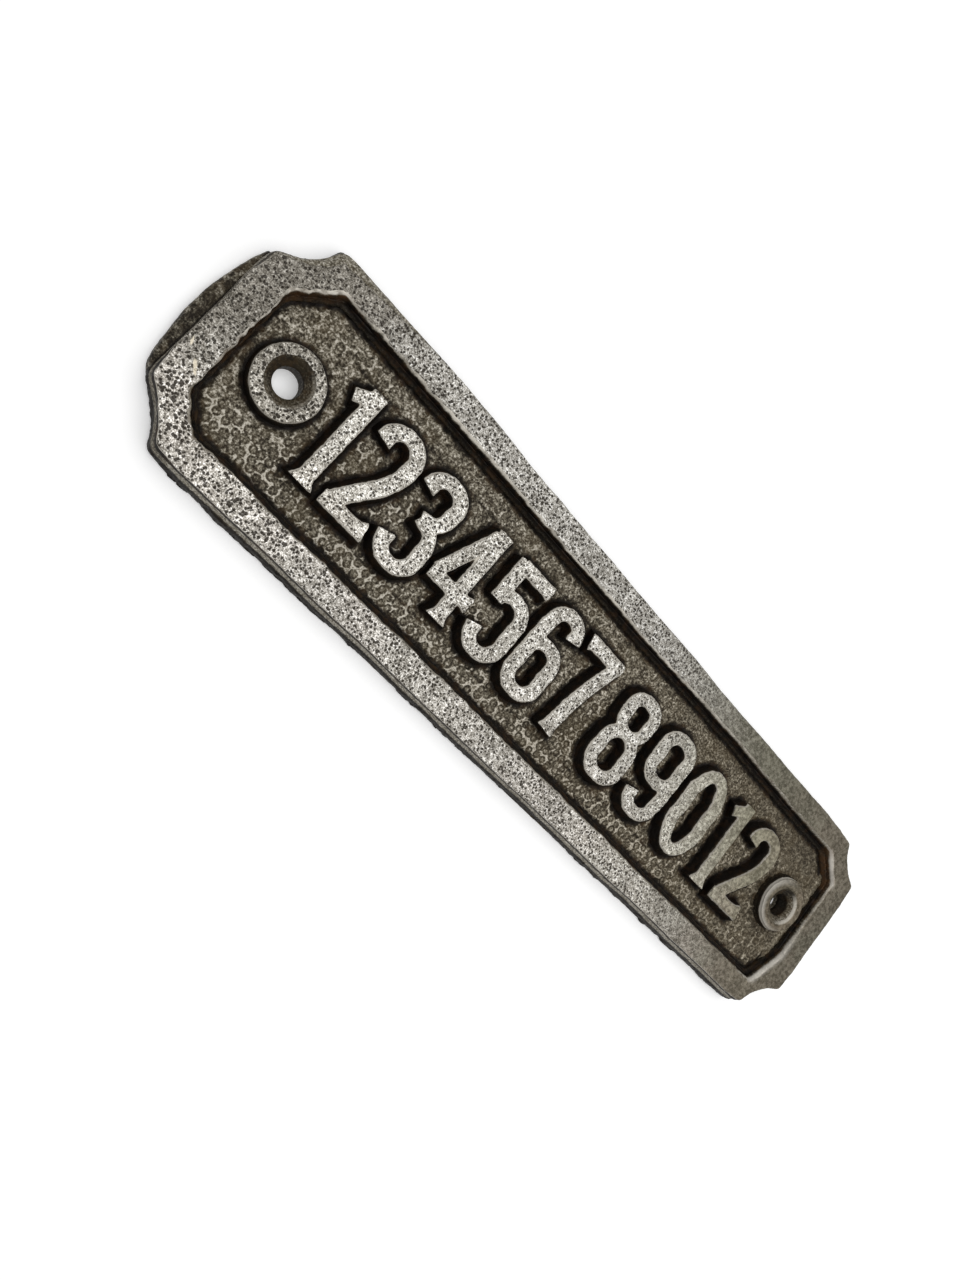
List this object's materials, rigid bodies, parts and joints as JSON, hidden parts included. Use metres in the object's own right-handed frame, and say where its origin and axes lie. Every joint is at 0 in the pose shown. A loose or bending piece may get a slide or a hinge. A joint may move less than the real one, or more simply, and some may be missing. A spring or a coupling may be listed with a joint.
{
  "type": "cast iron door sign",
  "caption": "Long cast iron sign plate with a sunk field, a raised border with scooped corners, raised plain numbers and a countersunk screw boss at each end.",
  "frame": {"origin": "on the flat back face, under the middle of the ground front face", "axes": "+Z out of the front face; +X along the sign in reading direction; +Y up the sign, towards the tops of its numbers"},
  "size_m": [0.1784, 0.0448, 0.005],
  "materials": {
    "patinated_field": "stippled as-cast iron with dark brown patina, lighter on its high spots",
    "ground_border": "ground and wire-brushed flat, grey, densely pitted",
    "ground_boss": "ground ring top, dark brown patina in the countersink",
    "ground_numbers": "ground flat tops, grey and pitted, with dark drafted sides"
  },
  "bodies": {
    "root": {"field_plate": "patinated_field", "raised_border": "ground_border", "screw_boss_left": "ground_boss", "screw_boss_right": "ground_boss"}
  },
  "joints": []
}
